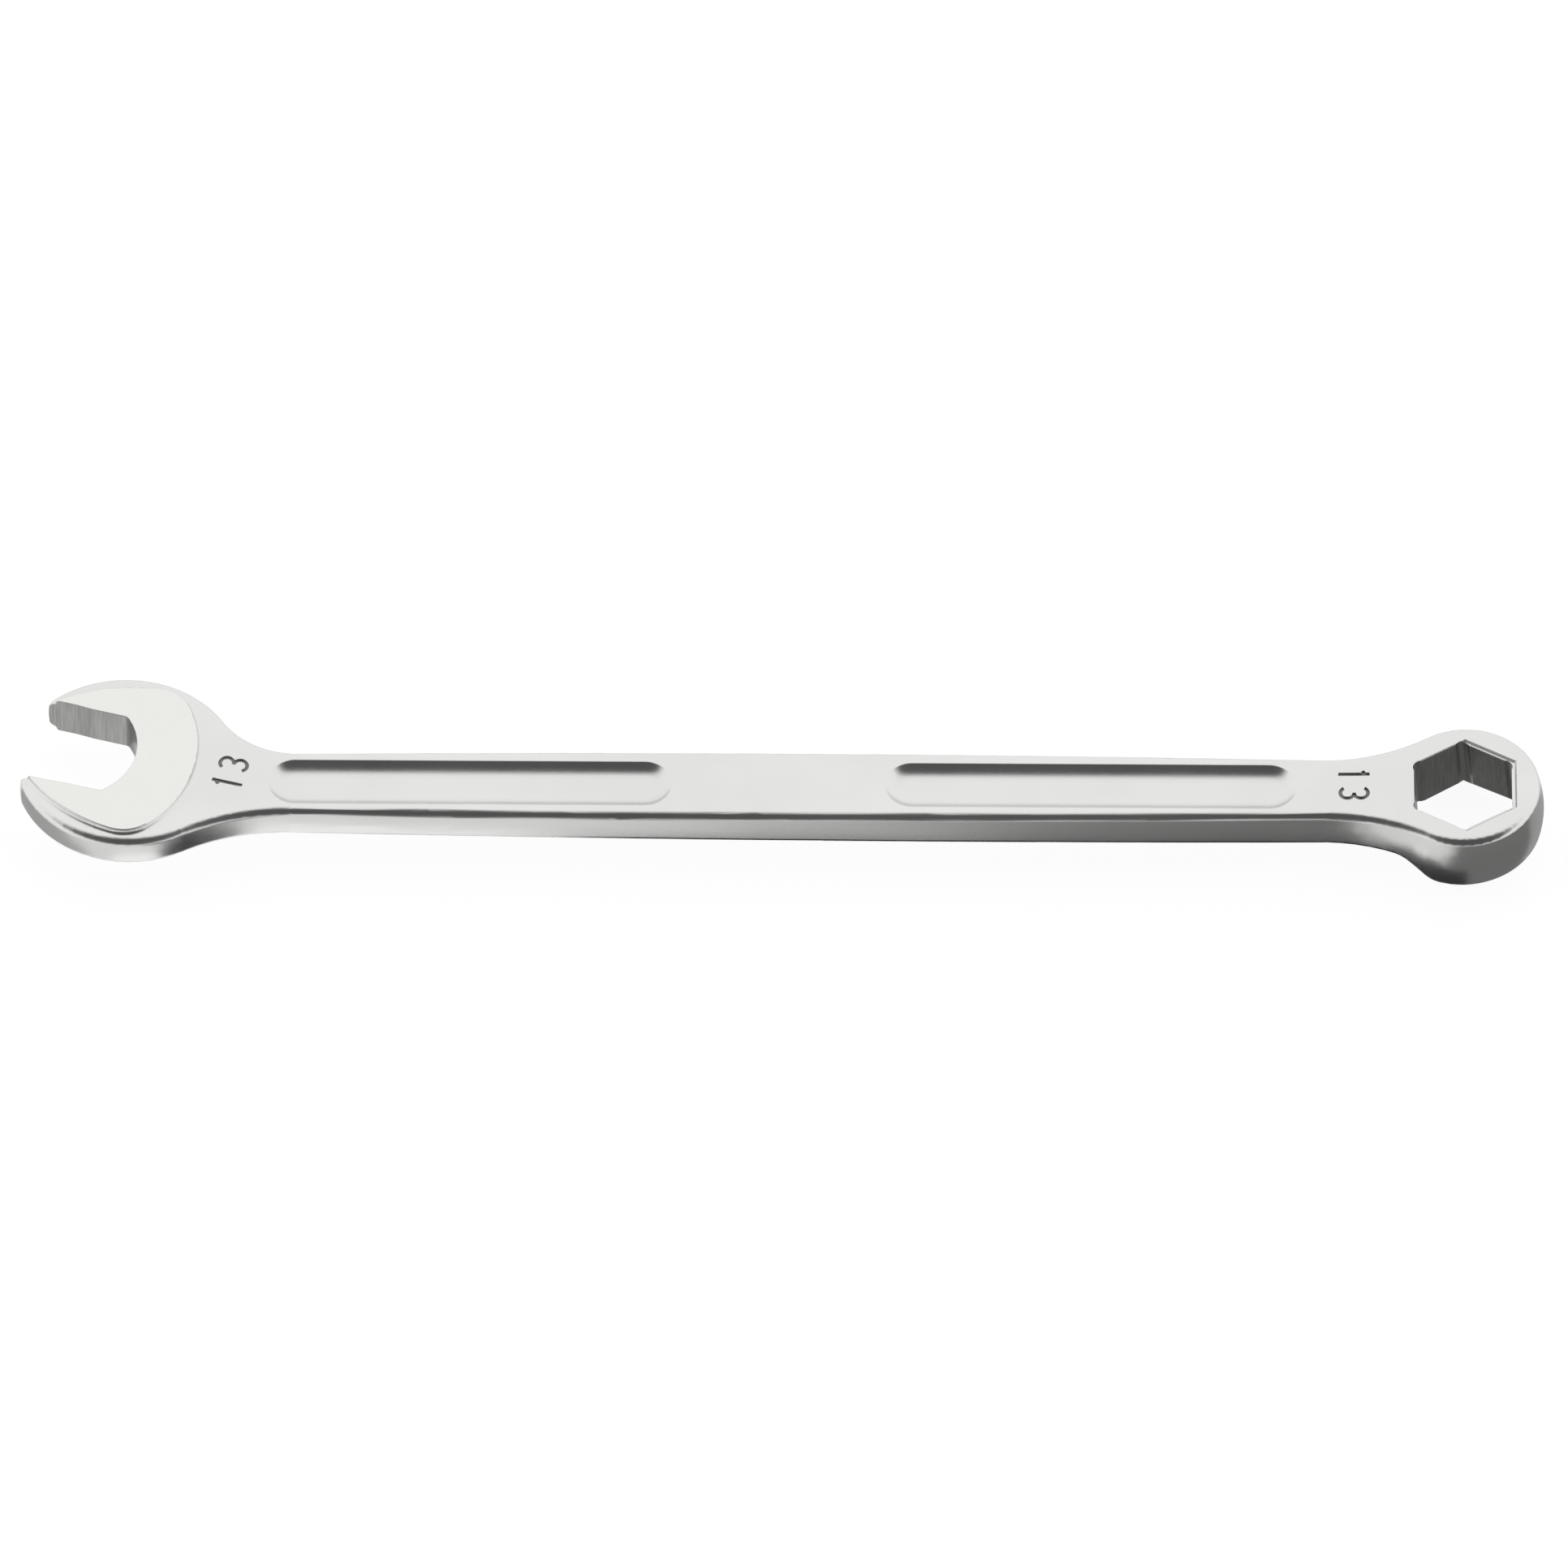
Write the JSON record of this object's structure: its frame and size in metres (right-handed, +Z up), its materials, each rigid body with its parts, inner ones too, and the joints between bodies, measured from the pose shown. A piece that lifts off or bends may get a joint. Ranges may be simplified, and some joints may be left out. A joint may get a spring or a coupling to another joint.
{
  "type": "combination wrench",
  "caption": "Long slim combination wrench in satin chrome steel: open jaw leaning from the shank at one end, tilted hexagon ring at the other, grip recesses along the shank.",
  "frame": {"origin": "under the middle of the wrench's box, in the plane that it rests on", "axes": "+X along the shank to the ring end, +Y to the side that the open end leans to, +Z up out of the numbered face"},
  "size_m": [0.2046, 0.0288, 0.0101],
  "materials": {
    "satin_chrome": "satin"
  },
  "bodies": {
    "root": {"wrench_forging": "satin_chrome"}
  },
  "joints": []
}
